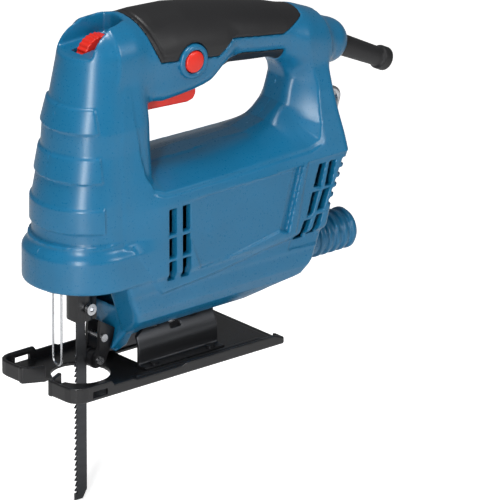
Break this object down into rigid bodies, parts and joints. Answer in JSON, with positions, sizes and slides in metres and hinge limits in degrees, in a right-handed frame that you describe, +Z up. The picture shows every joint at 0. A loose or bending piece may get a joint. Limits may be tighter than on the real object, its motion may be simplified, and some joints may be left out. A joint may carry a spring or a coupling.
{
  "type": "jigsaw power tool",
  "caption": "Corded D-handle jigsaw with tilting sole plate, guided reciprocating blade, rubber grip, trigger and rear dust port.",
  "frame": {"origin": "where the blade's line crosses the underside of the sole plate", "axes": "+X to the tool's rear, -Y the tool's left side, +Z up"},
  "size_m": [0.249, 0.0698, 0.2718],
  "materials": {
    "housing_plastic": "satin moulded plastic",
    "black_plastic": "satin moulded plastic",
    "grip_rubber": "fine matte rubber",
    "red_plastic": "satin moulded plastic",
    "black_paint": "satin black paint on steel",
    "dark_steel": "satin",
    "bright_steel": "satin",
    "cast_aluminium": "as cast",
    "bronze": "sintered",
    "copper_wire": "enamelled",
    "carbon": "matte"
  },
  "bodies": {
    "base": {"base_plate": "black_paint", "bevel_arch": "dark_steel", "arch_rivets": "dark_steel"},
    "housing": {"housing_left": "housing_plastic", "housing_right": "housing_plastic", "housing_screws": "dark_steel", "grip_cover": "grip_rubber", "grip_pad": "grip_rubber", "clamp_bolt": "bright_steel", "clamp_nut": "bright_steel", "clamp_shoe": "bright_steel", "gear_case": "cast_aluminium", "upper_bush": "bronze", "lower_bush": "bronze", "gear_axle": "bright_steel", "front_bearing": "bright_steel", "rear_bearing": "bright_steel", "stator_core": "dark_steel", "field_coils": "copper_wire", "brush_holders": "bronze", "carbon_brushes": "carbon", "brush_springs": "bright_steel", "roller_arm": "black_paint", "arm_pin": "bright_steel", "roller_pin": "bright_steel", "guard_wire": "bright_steel", "trigger_spring": "bright_steel", "switch_body": "black_plastic", "lock_spring": "bright_steel", "speed_module": "black_plastic", "cable_boot": "grip_rubber", "cable_clip": "black_plastic", "clip_screws": "bright_steel", "dust_port": "housing_plastic"},
    "armature": {"motor_shaft": "bright_steel", "rotor_core": "dark_steel", "rotor_windings": "copper_wire", "commutator": "copper_wire", "cooling_fan": "black_plastic"},
    "crank": {"crank_gear": "dark_steel", "crank_pin": "bright_steel", "crank_roller": "bright_steel"},
    "plunger": {"plunger_rod": "bright_steel", "scotch_yoke": "dark_steel", "blade_clamp": "black_paint", "clamp_screw": "bright_steel", "saw_blade": "dark_steel"},
    "roller": {"guide_roller": "black_paint"},
    "trigger": {"trigger": "red_plastic"},
    "lock": {"lock_button": "red_plastic"},
    "dial": {"speed_dial": "red_plastic"},
    "key": {"hex_key": "bright_steel"}
  },
  "joints": [
    {"name": "bevel_tilt", "type": "hinge", "parent": "base", "child": "housing", "pos_m": [0.056, 0, 0.0115], "axis": [1, 0, 0], "range_deg": [-45, 45]},
    {"name": "motor_spin", "type": "hinge", "parent": "housing", "child": "armature", "pos_m": [0.08, 0, 0.064], "axis": [1, 0, 0], "continuous": true},
    {"name": "crank_spin", "type": "hinge", "parent": "housing", "child": "crank", "pos_m": [0.022, 0, 0.091], "axis": [1, 0, 0], "continuous": true},
    {"name": "plunger_slide", "type": "slide", "parent": "housing", "child": "plunger", "axis": [0, 0, 1], "range_m": [-0.01, 0.01]},
    {"name": "roller_spin", "type": "hinge", "parent": "housing", "child": "roller", "pos_m": [0.0086, 0, 0.0085], "axis": [0, 1, 0], "continuous": true},
    {"name": "trigger_press", "type": "slide", "parent": "housing", "child": "trigger", "axis": [0, 0, 1], "range_m": [0, 0.005], "stiffness_N_per_m": 600, "springref_m": -0.002, "deforming": ["trigger_spring"]},
    {"name": "lock_press", "type": "slide", "parent": "housing", "child": "lock", "axis": [0, 1, 0], "range_m": [0, 0.003], "stiffness_N_per_m": 500, "springref_m": -0.002},
    {"name": "speed_turn", "type": "hinge", "parent": "housing", "child": "dial", "pos_m": [0.012, 0, 0.181], "axis": [0, 1, 0], "range_deg": [-120, 120]},
    {"name": "key_pull", "type": "slide", "parent": "housing", "child": "key", "axis": [0.9511, 0, -0.309], "range_m": [0, 0.036]}
  ],
  "couplings": [
    {"joint": "motor_spin", "follows": "crank_spin", "ratio": -5}
  ]
}
